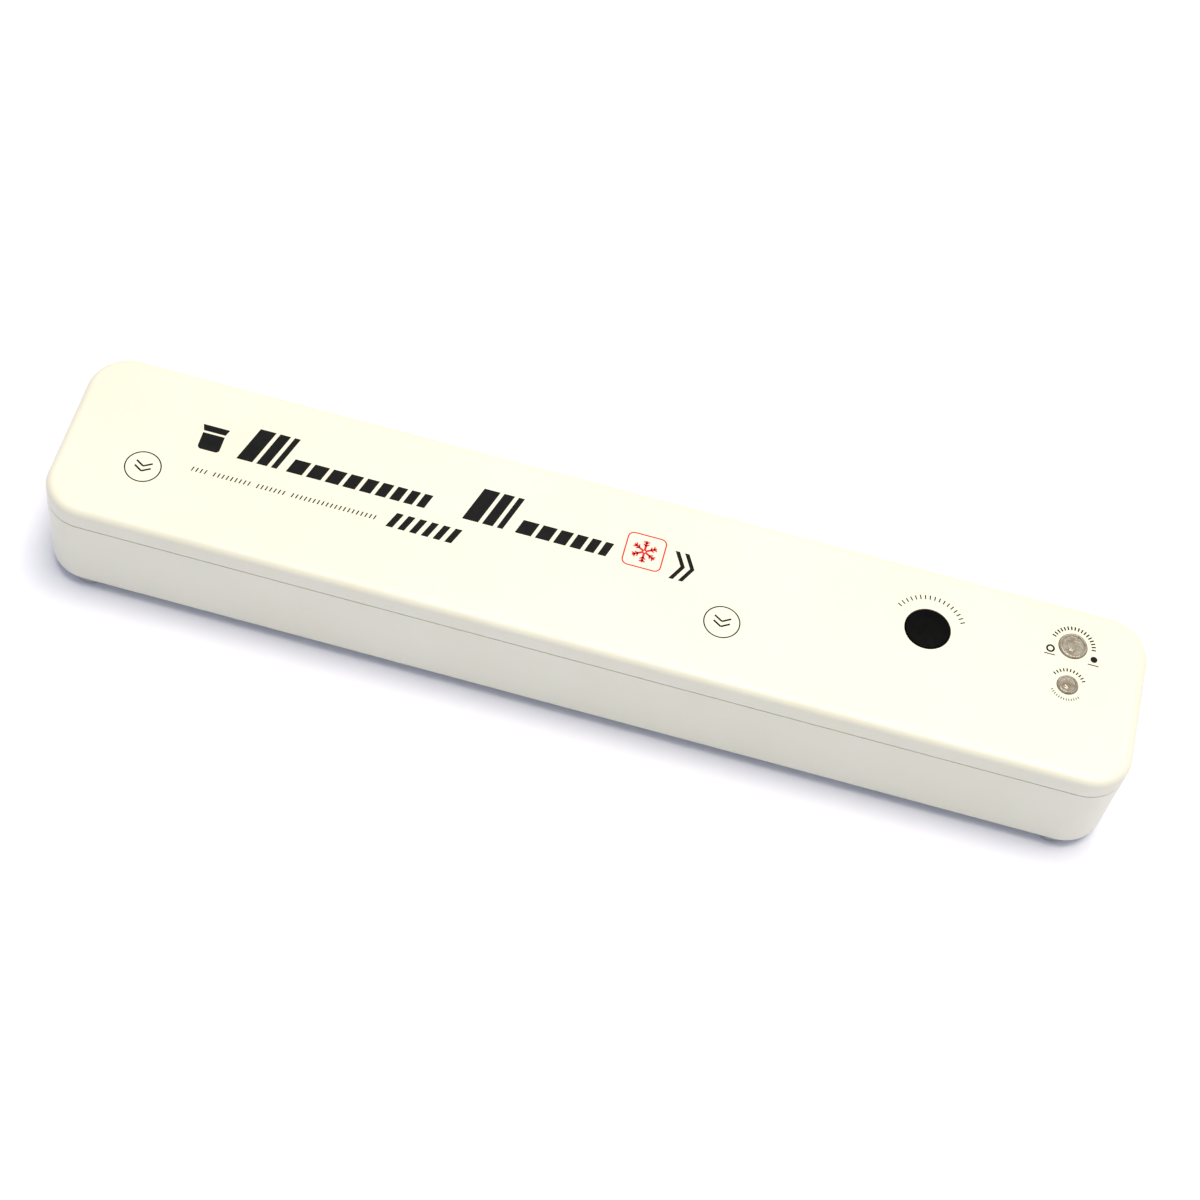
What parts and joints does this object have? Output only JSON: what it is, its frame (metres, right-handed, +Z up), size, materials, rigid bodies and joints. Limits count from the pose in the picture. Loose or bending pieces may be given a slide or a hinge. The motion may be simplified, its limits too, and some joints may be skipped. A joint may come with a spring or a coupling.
{
  "type": "vacuum sealer",
  "caption": "Slim countertop vacuum sealer: hinged lid, bag chamber with gaskets, heated sealing strip, diaphragm pump and push buttons.",
  "frame": {"origin": "on the table under the middle of the machine's bounding box", "axes": "+X along the length to the controls end, +Y to the hinge side (rear), +Z up"},
  "size_m": [0.36, 0.065, 0.0448],
  "materials": {
    "housing_plastic": "cream-white ABS, moulded with a fine satin texture",
    "liner_plastic": "cream-white ABS inner panel, satin",
    "label_film": "blank silver-grey polyester film",
    "foot_rubber": "light grey thermoplastic rubber",
    "screw_steel": "nickel-plated steel",
    "gasket_silicone": "dark grey silicone foam with a skin",
    "heater_laminate": "brown paper-phenolic laminate",
    "nichrome": "flat nichrome ribbon",
    "release_cloth": "brown glass cloth coated with release film",
    "contact_brass": "stamped brass",
    "wire_sleeve": "woven glass-fibre wire sleeve",
    "fitting_plastic": "natural acetal",
    "hose_silicone": "translucent silicone tube",
    "pump_plastic": "black glass-filled nylon",
    "diaphragm_rubber": "moulded black rubber",
    "zinc_steel": "bright zinc-plated sheet steel",
    "ferrite": "sintered ferrite",
    "circuit_board": "green solder mask on glass-epoxy board",
    "switch_plastic": "black moulded switch body",
    "indicator_red": "red diffused epoxy",
    "winding_copper": "enamelled copper winding",
    "capacitor_can": "printed sleeve on an aluminium can, left blank",
    "strip_silicone": "red-brown heat-proof silicone",
    "button_clear": "clear polycarbonate",
    "button_black": "black ABS, fine satin texture",
    "spring_steel": "drawn spring wire"
  },
  "bodies": {
    "base": {"base_housing": "housing_plastic", "vacuum_tray": "housing_plastic", "vacuum_tray_floor": "housing_plastic", "bottom_cover": "housing_plastic", "rating_label": "label_film", "rubber_feet": "foot_rubber", "bottom_cover_screws": "screw_steel", "lower_gasket": "gasket_silicone", "vent_port_gasket": "gasket_silicone", "heater_bar": "heater_laminate", "heating_ribbon": "nichrome", "release_tape": "release_cloth", "heater_terminal_left": "contact_brass", "heater_terminal_right": "contact_brass", "heater_lead_left": "wire_sleeve", "heater_lead_right": "wire_sleeve", "suction_nozzle": "fitting_plastic", "vent_nozzle": "fitting_plastic", "vent_elbow": "fitting_plastic", "suction_hose": "hose_silicone", "vent_hose": "hose_silicone", "pump_crankcase": "pump_plastic", "pump_diaphragm": "diaphragm_rubber", "pump_valve_cover": "pump_plastic", "pump_connecting_rod": "fitting_plastic", "pump_motor_can": "zinc_steel", "pump_motor_end_cap": "pump_plastic", "pump_motor_magnets": "ferrite", "pump_motor_strap": "zinc_steel", "pump_strap_screws": "screw_steel", "control_board": "circuit_board", "control_board_screws": "screw_steel", "push_switches": "switch_plastic", "indicator_leds": "indicator_red", "motor_relay": "switch_plastic", "power_board": "circuit_board", "power_board_screws": "screw_steel", "transformer_core": "ferrite", "transformer_coil": "winding_copper", "capacitor": "capacitor_can", "power_inlet": "pump_plastic", "power_inlet_pins": "contact_brass"},
    "lid": {"lid_cover": "housing_plastic", "lid_liner": "liner_plastic", "upper_gasket": "gasket_silicone", "pressing_strip": "strip_silicone", "lid_screws": "screw_steel", "hinge_pins": "screw_steel", "vacuum_seal_button_spring": "spring_steel", "seal_only_button_spring": "spring_steel", "releasing_valve_spring": "spring_steel"},
    "vacuum_seal_button": {"vacuum_seal_button": "button_clear"},
    "seal_only_button": {"seal_only_button": "button_clear"},
    "releasing_valve": {"releasing_valve_button": "button_black", "releasing_valve_seal": "gasket_silicone", "releasing_valve_clip": "spring_steel"},
    "pump_rotor": {"pump_shaft": "screw_steel", "pump_armature": "zinc_steel", "pump_eccentric": "contact_brass"}
  },
  "joints": [
    {"name": "lid_hinge", "type": "hinge", "parent": "base", "child": "lid", "pos_m": [0, 0.0291, 0.0393], "axis": [-1, 0, 0], "range_deg": [0, 100]},
    {"name": "vacuum_seal_press", "type": "slide", "parent": "lid", "child": "vacuum_seal_button", "axis": [0, 0, -1], "range_m": [0, 0.0015], "stiffness_N_per_m": 400, "springref_m": -0.001, "deforming": ["vacuum_seal_button_spring"]},
    {"name": "seal_only_press", "type": "slide", "parent": "lid", "child": "seal_only_button", "axis": [0, 0, -1], "range_m": [0, 0.0015], "stiffness_N_per_m": 400, "springref_m": -0.001, "deforming": ["seal_only_button_spring"]},
    {"name": "releasing_valve_press", "type": "slide", "parent": "lid", "child": "releasing_valve", "axis": [0, 0, -1], "range_m": [0, 0.0012], "stiffness_N_per_m": 900, "springref_m": -0.0015, "deforming": ["releasing_valve_spring"]},
    {"name": "pump_spin", "type": "hinge", "parent": "base", "child": "pump_rotor", "pos_m": [0.13, -0.0135, 0.0184], "axis": [1, 0, 0], "continuous": true}
  ]
}
